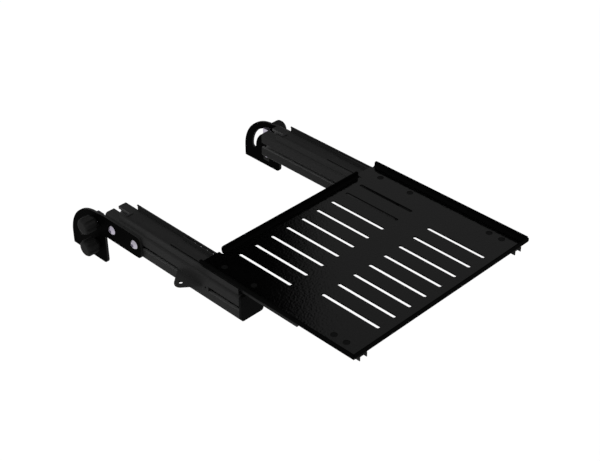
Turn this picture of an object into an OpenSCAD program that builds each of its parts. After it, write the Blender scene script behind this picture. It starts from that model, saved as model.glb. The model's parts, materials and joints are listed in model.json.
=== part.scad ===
// Sliding keyboard shelf for a T-slot rig: a slotted sheet tray on two flat ball-bearing slides,
// carried by two T-slot arms that tilt in a pair of clamped bracket plates.
// Origin: middle of the tilt axis. The user sits at -Y, +X is the user's right and +Z is up.
// The model is drawn with the tray pulled out by tray_out and the shelf level.

/* [Arms] */
// Width and height of the square T-slot profile
arm_size = 40; // [38:0.5:45]
// Length of each arm in front of its slide
arm_nose = 3; // [0:0.5:40]
// Distance between the arms, centre to centre
arm_spacing = 310; // [290:1:360]
// Distance from the tilt axis forward to the arms' rear ends
arm_setback = 23; // [20:0.5:30]
// Height of the arms' centre line above the tilt axis
arm_rise = 42.5; // [40:0.5:48]
// Outer corner radius of the profile
arm_corner = 4; // [1.5:0.1:5]
// Width of the slot's opening
slot_open = 8.2; // [8.1:0.05:8.4]
// Thickness of the lips beside the slot's opening
slot_lip = 4.5; // [4:0.1:5]
// Width of the slot behind the lips
slot_cavity = 20; // [19.2:0.1:20.6]
// Depth of the slot from the profile's face
slot_depth = 12.2; // [11.8:0.1:12.6]
// Diameter of the bore along the profile's centre
core_bore = 6.8; // [5:0.1:8]
// Thickness of the cap on each arm's front end
cap_t = 5; // [2:0.5:8]
// Length of the peg that holds the cap
cap_peg = 12; // [6:1:20]

/* [Slides] */
// Width of a slide's fixed member
slide_w = 35; // [34.8:0.1:36]
// Height of a slide's fixed member
slide_h = 10.2; // [9.9:0.1:10.4]
// Height from the arm's top to the tray's underside
slide_stack = 11.5; // [11.4:0.1:12]
// Length of the fixed member, and full travel of the slide
slide_len = 250; // [228:1:320]
// How much longer the moving member is
runner_extra = 8; // [0:0.5:14]
// How far the bumpers keep the tray from the slide's own closed end
shut_short = 2.5; // [0:0.1:6]
// How far the tray is pulled out from the slide's own closed end
tray_out = 207.5; // [6:0.5:226]
// Distance from the arm's rear end to the slide's rear end
slide_setback = 29.5; // [26:0.5:42]
// Thickness of the slide's steel
steel_t = 1.2; // [1.1:0.05:1.25]
// Thickness of a ball cage
cage_t = 0.5; // [0.4:0.05:0.55]
// Diameter of a ball
ball_d = 4.5; // [4.4:0.05:4.6]
// Least distance from a cage's end to its first ball
cage_rim = 3; // [2:0.1:10]
// Distance between balls
ball_pitch = 12.5; // [8:0.25:20]
// Width over the outsides of the moving member's flanges
runner_w = 13.8; // [13.6:0.1:14]
// Distance from the slide's ends to its outer fixing screws
rail_screw_inset = 26; // [18:1:40]

/* [Tray] */
// Width of the tray over its side lips
tray_w = 350; // [346:1:356]
// How far the tray runs behind the moving member
tray_tail = 23.1; // [16:0.1:60]
// Thickness of the tray's sheet
tray_t = 2; // [1.5:0.1:2.2]
// Height of the lips, from the tray's underside
lip_h = 11; // [8:0.5:25]
// Inside radius of the lips' bends
bend_r = 4; // [2:0.1:4.5]
// Radius of the lips' free corners
lip_corner = 3; // [1:0.1:4]
// Gap from the tray's front to the slide's front end
tray_overhang = 2.3; // [2.1:0.1:3]
// Width of the rear lip
rear_lip_w = 270; // [240:1:280]
// How far the floor runs behind the rear lip over each slide
ear_len = 3; // [1:0.1:6]
// Length of a strap slot over its round ends
strap_l = 100; // [80:1:104]
// Width of a strap slot
strap_w = 5.5; // [5:0.1:8]
// Distance between strap slots
strap_pitch = 30; // [26:0.5:31]
// Strap slots in the rear row, with one fewer in the front row
strap_count = 9; // [3:1:9]
// Distance from the tray's front to the front row's slots
strap_front = 21.4; // [16:0.2:26]
// Distance from the tray's rear lip to the rear row's slots
strap_rear = 20; // [16:0.2:24]
// Distance from the tray's front to its front screws
screw_front = 31; // [24:0.2:36]
// Distance between the two front screws on one side
screw_pair = 21.6; // [16:0.2:60]
// Distance between the two rear screws on one side
screw_rear_pair = 57.6; // [16:0.2:100]
// Distance from the moving member's rear end to the rear screws
screw_rear = 5; // [4.8:0.1:12]

/* [Bracket plates] */
// Thickness of a bracket plate
plate_t = 4; // [3:0.1:5]
// Length of the plate's strip in front of the tilt axis
strip_len = 105.5; // [104:0.5:116]
// Height of the strip's top edge above the tilt axis
strip_top = 58.2; // [56:0.1:61]
// Height of the strip
strip_h = 35.7; // [32:0.1:38]
// Radius of the plate's big rear corner
head_r = 64.5; // [63:0.5:66]
// Depth of the plate below the tilt axis
head_drop = 27.5; // [24:0.5:34]
// Distance from the tilt axis forward to the head's front edge
head_front = 21.5; // [18:0.5:24]
// Radius of the plate's small corners
plate_corner = 8; // [5:0.5:9]
// Distance from the tilt axis to the middle of the clamp slot
clamp_r = 38.5; // [37:0.5:40]
// Width of the curved clamp slot
clamp_w = 9; // [8.8:0.1:11]
// Tilt of the shelf's front edge downward
tilt_down = 90; // [60:1:90]
// Tilt of the shelf's front edge upward
tilt_up = 8; // [2:1:9]
// Distance from the arm's rear end to the first bracket bolt
bolt_inset = 18.5; // [14:0.5:22]
// Distance between the two bracket bolts
bolt_pitch = 50.5; // [40:0.5:58]

/* [Knobs and fasteners] */
// Diameter of the knobs' studs and of the bracket bolts
stud_d = 8; // [7.6:0.1:8]
// Diameter over a knob's lobes
knob_d = 26; // [24:0.5:30]
// Height of a knob
knob_h = 22; // [20:0.5:30]
// Lobes round a knob
knob_lobes = 8; // [5:1:9]
// Diameter of a knob's washer
washer_d = 16; // [14:0.5:20]
// Thickness of a knob's washer
washer_t = 1.6; // [1:0.1:2.5]
// Diameter of a bracket bolt's head
bolt_head_d = 14; // [13:0.5:16]
// Height of a bracket bolt's head
bolt_head_h = 4.4; // [3.6:0.1:5]
// Length of a rig nut along its slot
rig_nut_l = 20; // [16:0.5:24]
// Width of a rig nut behind the lips
rig_nut_w = 13; // [12:0.5:18]
// Thickness of a nut behind the slot's lips
nut_t = 4.5; // [3.5:0.1:4.8]
// Width of the nuts in the arms
arm_nut_w = 15; // [12:0.5:15]
// Length of the nuts in the arms
arm_nut_l = 18; // [14:0.5:20]
// Diameter of the countersunk screws
screw_d = 4.8; // [4:0.1:5]
// Diameter of a countersunk screw's head
screw_head_d = 9.2; // [8.4:0.1:9.4]

/* [Cable tab] */
// Thickness of the tab's ear
tab_t = 3; // [2:0.1:5]
// Length of the tab's root along the arm
tab_root = 51; // [44:1:60]
// Distance from the arm's rear end to the tab's root
tab_setback = 158.5; // [120:0.5:180]
// Distance from the arm's face to the middle of the tab's eye
tab_reach = 16.5; // [12:0.5:22]
// Radius of the ear's tip
tab_tip_r = 9.3; // [7:0.1:10]
// Diameter of the tab's eye
tab_eye_d = 6.5; // [6:0.1:10]

/* [Hidden] */
$fn = 64;

// Clearances
run_gap = 0.05;
thread_gap = 0.05;
hole_gap = 0.3;
slide_gap = 0.2;
face_gap = 0.1;
nut_gap = 0.2;
blend = 0.02;
cut = 1;

// Colours
col_powder = [0.035, 0.035, 0.04];
col_anodised = [0.15, 0.15, 0.155];
col_plastic = [0.09, 0.09, 0.09];
col_rail = [0.16, 0.16, 0.17];
col_zinc = [0.68, 0.67, 0.72];
col_ball = [0.8, 0.8, 0.82];
col_rubber = [0.06, 0.06, 0.06];

// Places of the arms and slides
arm_x = arm_spacing / 2;
arm_back = -arm_setback;
arm_len = arm_nose + slide_len + slide_setback;
arm_front = arm_back - arm_len;
arm_top = arm_rise + arm_size / 2;
arm_side = arm_x + arm_size / 2;
outer_back = arm_back - slide_setback;
outer_front = outer_back - slide_len;
rail_screw_y = [outer_back - rail_screw_inset, (outer_back + outer_front) / 2,
    outer_front + rail_screw_inset];
half_travel = slide_len / 2;
cage_travel = slide_len / 4;

// Slide section, from the moving member outwards and from the arm's top upwards
race_depth = 0.25;
race_gap = ball_d + 2 * run_gap - 2 * race_depth;
race_r = ball_d / 2 + run_gap;
runner_half = runner_w / 2;
middle_in = runner_half + race_gap;
middle_out = middle_in + steel_t;
outer_in = middle_out + race_gap;
outer_half = slide_w / 2;
inner_ball_x = (runner_half + middle_in) / 2;
outer_ball_x = (middle_out + outer_in) / 2;
cage_z = steel_t + slide_gap;
middle_z = cage_z + cage_t + slide_gap;
inner_cage_z = middle_z + steel_t + slide_gap;
runner_z = inner_cage_z + cage_t + slide_gap;
ball_z = runner_z + 2.1;
middle_top = slide_h - 0.3;
lip_in = outer_in - 0.9;
cage_top = ball_z + ball_d / 2 + 0.3;

// Stop tabs, which catch the cages at full travel, and the bumper, which catches the middle member
stop_t = 1.2;
stop_w = race_gap - 1;
stop_h = 2.5;
close_gap = 0.5;
slide_tail = 2.9;
bumper_l = slide_tail - close_gap + shut_short / 2;
bumper_w = 10;
middle_back = outer_back - slide_tail;
middle_len = slide_len - slide_tail;
stop_back = middle_back - stop_t - half_travel;
cage_len = stop_back - (outer_front + stop_t) - 2 * close_gap;
cage_back_open = stop_back - close_gap;
cage_back_shut = cage_back_open + cage_travel;
ball_count = floor((cage_len - ball_d - 2 * cage_rim) / ball_pitch) + 1;

// Places of the moving pieces with the tray pulled out
middle_shift = -tray_out / 2;
outer_cage_shift = -tray_out / 4;
inner_cage_shift = -3 * tray_out / 4;
runner_front = outer_front - tray_out;
runner_len = slide_len + runner_extra;
runner_back = runner_front + runner_len;
runner_stop = middle_back - tray_out;

// Tray
tray_x = tray_w / 2;
tray_front = runner_front - tray_overhang;
tray_d = tray_overhang + runner_len + tray_tail;
tray_rear = tray_front + tray_d;
tray_z = arm_top + slide_stack;
floor_z = tray_z + tray_t;
bend_out = bend_r + tray_t;
relief = 1.5;
tray_screw_y = [tray_front + screw_front, tray_front + screw_front + screw_pair,
    runner_back - screw_rear - screw_rear_pair, runner_back - screw_rear];

// Bracket plates
head_y = -4;
head_z = -9;
head_top = head_z + head_r;
strip_bottom = strip_top - strip_h;
inner_fillet = 4;
plate_out = arm_side + plate_t;
clamp_at = 90;
slot_rear = clamp_at - tilt_down;
slot_front = clamp_at + tilt_up;
bolt_y = [arm_back - bolt_inset, arm_back - bolt_inset - bolt_pitch];

// Knobs, studs and nuts
stud_r = stud_d / 2;
stud_hold = 14;
rig_nut_x = slot_lip + nut_gap;
rig_neck_w = slot_open - 0.4;
rig_neck_h = slot_lip - 0.6;
knob_z = washer_t + 2 * face_gap;
knob_r = knob_d / 2;
knob_hub_r = 8.2;
knob_hub_h = 4;
knob_round = 5;
flute_r = 3;
flute_at = knob_r + 1.2;
arm_nut_z = slot_lip + nut_gap;
screw_r = screw_d / 2;
screw_cone = (screw_head_d - screw_d) / 2;
screw_sink = 0.3;
tray_screw_l = 8;
tray_nut_h = 4;
tray_nut_w = 8;

// Cable tab
tab_y = arm_back - tab_setback;
tab_foot_l = tab_root + 12;
tab_foot_w = 14;
tab_foot_t = 4;
tab_screw_r = 2.5;
tab_screw_y = tab_y - tab_foot_l + 6;

// Flat shape of a rectangle with round corners, centred
module round_rect(w, h, r) {
    square([w - 2 * r, h], center = true);
    square([w, h - 2 * r], center = true);
    for (sx = [-1, 1], sy = [-1, 1])
        translate([sx * (w / 2 - r), sy * (h / 2 - r)]) circle(r);
}

// Extrudes a flat shape drawn in X and Z along Y, from y = back forward by len
module along_y(back, len) {
    translate([0, back, 0]) rotate([90, 0, 0]) linear_extrude(len) children();
}

// Extrudes a flat shape drawn in Y and Z along X, from x = start by len
module along_x(start, len) {
    translate([start, 0, 0]) rotate([90, 0, 90]) linear_extrude(len) children();
}

// Turns what is drawn outward along +Z to face the outside of the shelf on one side
module outward(side, x) {
    translate([side * x, 0, 0]) rotate([0, side * 90, 0]) children();
}

// One T-slot seen on the profile's end, with its mouth at +Y
module slot_section() {
    face = arm_size / 2;
    shoulder = 3;
    floor_half = slot_cavity / 2 - (slot_depth - slot_lip - shoulder);
    polygon([[-slot_open / 2, face + cut], [-slot_open / 2, face - slot_lip],
        [-slot_cavity / 2, face - slot_lip], [-slot_cavity / 2, face - slot_lip - shoulder],
        [-floor_half, face - slot_depth], [floor_half, face - slot_depth],
        [slot_cavity / 2, face - slot_lip - shoulder], [slot_cavity / 2, face - slot_lip],
        [slot_open / 2, face - slot_lip], [slot_open / 2, face + cut]]);
}

module arm(side) {
    color(col_anodised)
    translate([side * arm_x, 0, arm_rise])
    along_y(arm_back, arm_len) difference() {
        round_rect(arm_size, arm_size, arm_corner);
        for (a = [0:90:270]) rotate(a) slot_section();
        circle(d = core_bore);
    }
}

module arm_cap(side) {
    color(col_plastic)
    translate([side * arm_x, 0, arm_rise]) {
        along_y(arm_front, cap_t) round_rect(arm_size, arm_size, arm_corner);
        along_y(arm_front + cap_peg, cap_peg + cut) circle(core_bore / 2 - run_gap);
    }
}

// Outline of a bracket plate in Y and Z, without its holes
module bracket_outline() {
    intersection() {
        translate([head_y, head_z]) circle(head_r);
        translate([head_y, head_z]) square(head_r);
    }
    translate([head_y, -head_drop]) square([head_r, head_z + head_drop]);
    translate([plate_corner - head_front, plate_corner - head_drop]) circle(plate_corner);
    polygon([[-head_front, plate_corner - head_drop], [plate_corner - head_front, plate_corner - head_drop],
        [plate_corner - head_front, -head_drop], [head_y, -head_drop], [head_y, head_top],
        [-head_front, strip_top]]);
    translate([plate_corner - strip_len, strip_bottom])
        square([strip_len - plate_corner - head_front, strip_h]);
    translate([-strip_len, strip_bottom + plate_corner]) square([plate_corner, strip_h - 2 * plate_corner]);
    for (z = [strip_bottom + plate_corner, strip_top - plate_corner])
        translate([plate_corner - strip_len, z]) circle(plate_corner);
    translate([-head_front - inner_fillet, strip_bottom - inner_fillet]) difference() {
        square(inner_fillet + cut);
        circle(inner_fillet);
    }
}

// Curved slot round the tilt axis, with round ends
module clamp_slot() {
    steps = 12;
    far = 2 * clamp_r;
    intersection() {
        difference() {
            circle(clamp_r + clamp_w / 2);
            circle(clamp_r - clamp_w / 2);
        }
        polygon(concat([[0, 0]], [for (i = [0:steps])
            let (a = slot_rear + (slot_front - slot_rear) * i / steps) [far * cos(a), far * sin(a)]]));
    }
    for (a = [slot_rear, slot_front]) rotate(a) translate([clamp_r, 0]) circle(clamp_w / 2 - blend);
}

module bracket(side) {
    color(col_powder)
    along_x(side > 0 ? arm_side : -plate_out, plate_t) difference() {
        bracket_outline();
        clamp_slot();
        circle(stud_r + hole_gap);
        for (y = bolt_y) translate([y, arm_rise]) circle(stud_r + hole_gap);
    }
}

// Button-head bolt pointing down from z = 0, with its head above
module button_bolt(len) {
    rim = 0.6;
    dome_c = (pow(bolt_head_h, 2) - pow(bolt_head_d / 2, 2) - pow(rim, 2)) / (2 * (bolt_head_h - rim));
    difference() {
        union() {
            intersection() {
                cylinder(d = bolt_head_d, h = bolt_head_h);
                translate([0, 0, dome_c]) sphere(bolt_head_h - dome_c);
            }
            translate([0, 0, -len]) cylinder(r = stud_r, h = len + cut);
        }
        translate([0, 0, bolt_head_h / 2]) cylinder(d = bolt_head_d * 0.41, h = bolt_head_h, $fn = 6);
    }
}

module bracket_bolts() {
    color(col_zinc)
    for (side = [-1, 1], y = bolt_y)
        translate([0, y, arm_rise]) outward(side, plate_out) button_bolt(plate_t + arm_nut_z + nut_t);
}

// Nut that fills a T-slot behind its lips, centred, with its threaded hole along Z
module slot_nut(len, wide, high, hole_r) {
    difference() {
        translate([-wide / 2, -len / 2, -high]) cube([wide, len, high]);
        translate([0, 0, -high - cut]) cylinder(r = hole_r, h = high + 2 * cut);
    }
}

module bracket_nuts() {
    color(col_zinc)
    for (side = [-1, 1], y = bolt_y)
        translate([0, y, arm_rise]) outward(side, arm_side - arm_nut_z)
            slot_nut(arm_nut_l, arm_nut_w, nut_t, stud_r + thread_gap);
}

// Countersunk screw pointing down, with its head's face at z = 0
module flat_screw(len) {
    translate([0, 0, -screw_cone]) cylinder(r1 = screw_r, r2 = screw_head_d / 2, h = screw_cone);
    translate([0, 0, -len]) cylinder(r = screw_r, h = len - screw_cone / 2);
}

// Hole for a countersunk screw, with a round recess above its head
module flat_hole() {
    translate([0, 0, -screw_cone])
        cylinder(r1 = screw_r + thread_gap, r2 = screw_head_d / 2 + thread_gap, h = screw_cone);
    cylinder(r = screw_head_d / 2 + hole_gap, h = cut);
    translate([0, 0, -slot_depth]) cylinder(r = screw_r + thread_gap, h = slot_depth - screw_cone / 2);
}

// Section of the fixed member, its channel open upwards
module outer_section() {
    difference() {
        union() {
            translate([-outer_half, 0]) square([slide_w, steel_t]);
            for (s = [-1, 1]) {
                translate([s * (outer_in + outer_half) / 2, slide_h / 2])
                    square([outer_half - outer_in, slide_h], center = true);
                translate([s * (lip_in + outer_half) / 2, slide_h - steel_t / 2])
                    square([outer_half - lip_in, steel_t], center = true);
            }
        }
        for (s = [-1, 1]) translate([s * outer_ball_x, ball_z]) circle(race_r);
    }
}

// Section of the middle member, with races inside and outside
module middle_section() {
    difference() {
        union() {
            translate([-middle_out, middle_z]) square([2 * middle_out, steel_t]);
            for (s = [-1, 1]) translate([s * (middle_in + middle_out) / 2, (middle_z + middle_top) / 2])
                square([steel_t, middle_top - middle_z], center = true);
        }
        for (x = [inner_ball_x, outer_ball_x], s = [-1, 1]) translate([s * x, ball_z]) circle(race_r);
    }
}

// Section of the moving member, its channel open downwards
module runner_section() {
    difference() {
        translate([-runner_half, runner_z]) square([runner_w, slide_stack - runner_z]);
        translate([steel_t - runner_half, runner_z - cut])
            square([runner_w - 2 * steel_t, slide_stack - runner_z - steel_t + cut]);
        for (s = [-1, 1]) translate([s * inner_ball_x, ball_z]) circle(race_r);
    }
}

// Two stop tabs on a member's flanges, from x = near outwards
module stop_tabs(near, back) {
    for (s = [-1, 1]) translate([s * (near + stop_w / 2), back - stop_t / 2, ball_z])
        cube([stop_w, stop_t, stop_h], center = true);
}

module on_arm(side) {
    translate([side * arm_x, 0, arm_top]) children();
}

module rail_outer(side) {
    color(col_rail)
    on_arm(side) {
        difference() {
            along_y(outer_back, slide_len) outer_section();
            for (y = rail_screw_y) translate([0, y, steel_t]) flat_hole();
        }
        stop_tabs(outer_in - stop_w, outer_front + stop_t);
    }
}

module rail_screws() {
    color(col_rail)
    for (side = [-1, 1], y = rail_screw_y)
        on_arm(side) translate([0, y, steel_t]) flat_screw(steel_t + arm_nut_z + nut_t);
}

module rail_nuts() {
    color(col_zinc)
    for (side = [-1, 1], y = rail_screw_y)
        on_arm(side) translate([0, y, -arm_nut_z])
            slot_nut(arm_nut_l, arm_nut_w, nut_t, screw_r + thread_gap);
}

module rail_bumpers() {
    color(col_rubber)
    for (side = [-1, 1])
        on_arm(side) translate([-bumper_w / 2, outer_back - bumper_l, steel_t])
            cube([bumper_w, bumper_l, middle_z]);
}

module rail_middle(side) {
    color(col_rail)
    on_arm(side) translate([0, middle_shift, 0]) {
        along_y(middle_back, middle_len) middle_section();
        stop_tabs(middle_out, middle_back);
        stop_tabs(middle_in - stop_w, middle_back - middle_len + stop_t);
    }
}

module rail_inner(side) {
    color(col_rail)
    on_arm(side) {
        difference() {
            along_y(runner_back, runner_len) runner_section();
            for (y = tray_screw_y) translate([0, y, slide_stack + tray_t - screw_sink]) flat_hole();
        }
        stop_tabs(runner_half, runner_stop);
    }
}

function ball_y(i) = cage_back_shut - cage_len / 2 + (i - (ball_count - 1) / 2) * ball_pitch;

// Ball cage of one slide: a folded strip with a hole for each ball
module cage(x, z) {
    difference() {
        union() {
            translate([-x - cage_t / 2, cage_back_shut - cage_len, z])
                cube([2 * x + cage_t, cage_len, cage_t]);
            for (s = [-1, 1]) translate([s * x - cage_t / 2, cage_back_shut - cage_len, z])
                cube([cage_t, cage_len, cage_top - z]);
        }
        for (i = [0:ball_count - 1], s = [-1, 1])
            translate([s * x, ball_y(i), ball_z]) rotate([0, 90, 0])
                cylinder(r = ball_d / 2 + run_gap, h = 2 * cage_t, center = true);
    }
}

module balls(x) {
    for (side = [-1, 1], i = [0:ball_count - 1], s = [-1, 1])
        on_arm(side) translate([s * x, ball_y(i), ball_z]) sphere(d = ball_d);
}

module outer_cage(side) {
    color(col_rail)
    on_arm(side) translate([0, outer_cage_shift, 0]) cage(outer_ball_x, cage_z);
}

module outer_balls() {
    color(col_ball)
    translate([0, outer_cage_shift, 0]) balls(outer_ball_x);
}

module inner_cage(side) {
    color(col_rail)
    on_arm(side) translate([0, inner_cage_shift, 0]) cage(inner_ball_x, inner_cage_z);
}

module inner_balls() {
    color(col_ball)
    translate([0, inner_cage_shift, 0]) balls(inner_ball_x);
}

// Flat trough shape as wide as 2 * half, its bottom corners rounded by r
module trough(half, bottom, top, r) {
    translate([r - half, bottom]) square([2 * (half - r), top - bottom]);
    translate([-half, bottom + r]) square([2 * half, top - bottom - r]);
    for (s = [-1, 1]) translate([s * (half - r), bottom + r]) circle(r);
}

// The same from the side: only the front bottom corner is rounded
module trough_side(front, back, bottom, top, r) {
    translate([front + r, bottom]) square([back - front - r, top - bottom]);
    translate([front, bottom + r]) square([r, top - bottom - r]);
    translate([front + r, bottom + r]) circle(r);
}

// What is cut off a lip's free corner to round it, with the round's middle at the origin
module corner_waste() {
    difference() {
        square(lip_corner + cut);
        circle(lip_corner);
    }
}

// Floor with the front lip and the side lips, bent up from one sheet
module tray_shell() {
    difference() {
        intersection() {
            along_y(tray_rear, tray_d) trough(tray_x, 0, lip_h, bend_out);
            along_x(-tray_x, tray_w) trough_side(tray_front, tray_rear, 0, lip_h, bend_out);
        }
        intersection() {
            along_y(tray_rear + cut, tray_d + cut)
                trough(tray_x - tray_t, tray_t, lip_h + cut, bend_r);
            along_x(-tray_x, tray_w)
                trough_side(tray_front + tray_t, tray_rear + cut, tray_t, lip_h + cut, bend_r);
        }
        for (s = [0, 1]) mirror([s, 0, 0]) {
            along_y(tray_front + tray_t, tray_t + cut)
                translate([tray_x - lip_corner, lip_h - lip_corner]) corner_waste();
            along_x(tray_x - tray_t, tray_t + cut) {
                translate([tray_rear - lip_corner, lip_h - lip_corner]) corner_waste();
                translate([tray_front + lip_corner, lip_h - lip_corner]) mirror([1, 0]) corner_waste();
            }
        }
    }
}

// Section of the rear lip with a piece of floor in front of it
module rear_bend() {
    run = relief + cut;
    translate([tray_rear - bend_out - run, 0]) square([run, tray_t]);
    translate([tray_rear - tray_t, bend_out]) square([tray_t, lip_h - bend_out]);
    intersection() {
        translate([tray_rear - bend_out, 0]) square(bend_out);
        translate([tray_rear - bend_out, bend_out]) difference() {
            circle(bend_out);
            circle(bend_r);
        }
    }
}

module rear_lip() {
    half = rear_lip_w / 2;
    difference() {
        along_x(-half, rear_lip_w) rear_bend();
        for (s = [0, 1]) mirror([s, 0, 0]) along_y(tray_rear + cut, tray_t + 2 * cut)
            translate([half - lip_corner, lip_h - lip_corner]) corner_waste();
    }
}

// Strap slots of one row
module strap_row(count, y) {
    for (i = [0:count - 1]) translate([(i - (count - 1) / 2) * strap_pitch, y]) {
        square([strap_w, strap_l - strap_w], center = true);
        for (s = [-1, 1]) translate([0, s * (strap_l - strap_w) / 2]) circle(d = strap_w);
    }
}

module tray() {
    notch = rear_lip_w / 2 + relief;
    ear_w = tray_x - bend_out - notch;
    color(col_powder)
    translate([0, 0, tray_z]) {
        difference() {
            tray_shell();
            translate([-notch, tray_rear - bend_out - relief, -cut])
                cube([2 * notch, bend_out + relief + cut, lip_h + 2 * cut]);
            translate([0, 0, -cut]) linear_extrude(tray_t + 2 * cut) {
                strap_row(strap_count, tray_rear - strap_rear - strap_l / 2);
                strap_row(strap_count - 1, tray_front + strap_front + strap_l / 2);
            }
            for (s = [-1, 1], y = tray_screw_y) translate([s * arm_x, y, tray_t - screw_sink]) flat_hole();
        }
        rear_lip();
        for (s = [-1, 1]) translate([s * (notch + ear_w / 2), tray_rear + (ear_len - cut) / 2, tray_t / 2])
            cube([ear_w, ear_len + cut, tray_t], center = true);
    }
}

module tray_screws() {
    color(col_powder)
    for (s = [-1, 1], y = tray_screw_y)
        translate([s * arm_x, y, floor_z - screw_sink]) flat_screw(tray_screw_l);
}

module tray_nuts() {
    color(col_zinc)
    for (s = [-1, 1], y = tray_screw_y)
        translate([s * arm_x, y, tray_z - steel_t - face_gap - tray_nut_h]) difference() {
            cylinder(d = tray_nut_w / cos(30), h = tray_nut_h, $fn = 6);
            translate([0, 0, -cut]) cylinder(r = screw_r + thread_gap, h = tray_nut_h + 2 * cut);
        }
}

// Nuts in the slots of the rig's uprights, at height z. The lower pair is blackened.
module rig_nuts(z) {
    color(z > 0 ? col_zinc : col_rail)
    for (side = [-1, 1]) translate([0, 0, z]) outward(side, arm_side) difference() {
        union() {
            translate([-rig_nut_l / 2, -rig_nut_w / 2, -rig_nut_x - nut_t])
                cube([rig_nut_l, rig_nut_w, nut_t]);
            translate([-rig_nut_l / 2, -rig_neck_w / 2, -rig_nut_x - cut])
                cube([rig_nut_l, rig_neck_w, rig_neck_h + cut]);
        }
        translate([0, 0, -rig_nut_x - nut_t - cut])
            cylinder(r = stud_r + thread_gap, h = rig_nut_x + nut_t + cut);
    }
}

// Washers on the outsides of the plates, at height z
module washers(z) {
    color(col_rail)
    for (side = [-1, 1]) translate([0, 0, z]) outward(side, plate_out + face_gap) difference() {
        cylinder(d = washer_d, h = washer_t);
        translate([0, 0, -cut]) cylinder(r = stud_r + hole_gap, h = washer_t + 2 * cut);
    }
}

// Half section of a knob, turned about its stud
module knob_section() {
    square([knob_hub_r, knob_hub_h + cut]);
    translate([0, knob_hub_h]) {
        square([knob_r - 1, 1]);
        translate([0, 1]) square([knob_r, knob_h - knob_hub_h - knob_round - 1]);
        square([knob_r - knob_round, knob_h - knob_hub_h]);
    }
    translate([knob_r - 1, knob_hub_h + 1]) circle(1);
    translate([knob_r - knob_round, knob_h - knob_round]) circle(knob_round);
}

module knob(side, z) {
    color(col_plastic)
    translate([0, 0, z]) outward(side, plate_out + knob_z) difference() {
        rotate_extrude() knob_section();
        for (i = [0:knob_lobes - 1]) rotate(i * 360 / knob_lobes) translate([flute_at, 0, -cut])
            cylinder(r = flute_r, h = knob_h + 2 * cut);
        translate([0, 0, -cut]) cylinder(r = stud_r + thread_gap, h = stud_hold + cut + face_gap);
    }
}

module stud(side, z) {
    color(col_zinc)
    translate([0, 0, z]) outward(side, arm_side - rig_nut_x - nut_t)
        cylinder(r = stud_r, h = rig_nut_x + nut_t + plate_t + knob_z + stud_hold);
}

// Outline of the tab's ear in Y and X, with its root on the arm's face at x = 0
module ear_outline() {
    half = tab_root / 2;
    far = sqrt(pow(half, 2) + pow(tab_reach, 2));
    tip_r = tab_tip_r - blend;
    tangent = sqrt(pow(far, 2) - pow(tip_r, 2));
    a = atan2(tab_reach, -half) - asin(tip_r / far);
    tip = [half + tangent * cos(a), tangent * sin(a)];
    polygon([[-half, 0], [half, 0], tip, [0, tab_reach], [-tip[0], tip[1]]]);
    translate([0, tab_reach]) circle(tab_tip_r);
}

module cable_tab() {
    eye_y = tab_y - tab_root / 2;
    color(col_anodised)
    translate([0, 0, arm_rise]) {
        translate([-arm_side, eye_y, -tab_t / 2]) linear_extrude(tab_t) rotate(90) difference() {
            ear_outline();
            translate([0, tab_reach]) circle(d = tab_eye_d);
        }
        difference() {
            union() {
                translate([-arm_side - 0.5, tab_y - tab_root, -tab_t / 2]) cube([1, tab_root, tab_t]);
                translate([-arm_side, tab_y - tab_foot_l, -slot_open / 2 + face_gap])
                    cube([slot_lip + cut, tab_foot_l, slot_open - 2 * face_gap]);
                translate([slot_lip + face_gap - arm_side, tab_y - tab_foot_l, -tab_foot_w / 2])
                    cube([tab_foot_t, tab_foot_l, tab_foot_w]);
            }
            translate([-arm_side - cut, tab_screw_y, 0]) rotate([0, 90, 0])
                cylinder(r = tab_screw_r + thread_gap, h = slot_depth + cut);
        }
    }
}

module tab_screw() {
    socket = 2.5;
    color(col_rail)
    translate([-arm_side + face_gap, tab_screw_y, arm_rise]) rotate([0, 90, 0]) difference() {
        cylinder(r = tab_screw_r, h = slot_depth - 2 * face_gap);
        translate([0, 0, -cut]) cylinder(d = socket / cos(30), h = socket + cut, $fn = 6);
    }
}

arm(-1);  // arm_left
arm(1);  // arm_right
arm_cap(-1);  // arm_cap_left
arm_cap(1);  // arm_cap_right
bracket(-1);  // bracket_left
bracket(1);  // bracket_right
bracket_bolts();
bracket_nuts();
rail_outer(-1);  // rail_outer_left
rail_outer(1);  // rail_outer_right
rail_screws();
rail_nuts();
rail_bumpers();
rail_middle(-1);  // rail_middle_left
rail_middle(1);  // rail_middle_right
rail_inner(-1);  // rail_inner_left
rail_inner(1);  // rail_inner_right
outer_cage(-1);  // outer_cage_left
outer_cage(1);  // outer_cage_right
outer_balls();
inner_cage(-1);  // inner_cage_left
inner_cage(1);  // inner_cage_right
inner_balls();
tray();
tray_screws();
tray_nuts();
rig_nuts(clamp_r);  // clamp_rig_nuts
rig_nuts(0);  // pivot_rig_nuts
washers(clamp_r);  // clamp_washers
washers(0);  // pivot_washers
knob(-1, clamp_r);  // clamp_knob_left
knob(1, clamp_r);  // clamp_knob_right
knob(-1, 0);  // pivot_knob_left
knob(1, 0);  // pivot_knob_right
stud(-1, clamp_r);  // clamp_stud_left
stud(1, clamp_r);  // clamp_stud_right
stud(-1, 0);  // pivot_stud_left
stud(1, 0);  // pivot_stud_right
cable_tab();
tab_screw();
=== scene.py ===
"""A sliding keyboard shelf: the finishes, the softened edges, the grips and fasteners, and the studio."""

import json
import math

import bmesh
import bpy
from mathutils import Euler, Matrix, Vector

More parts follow.
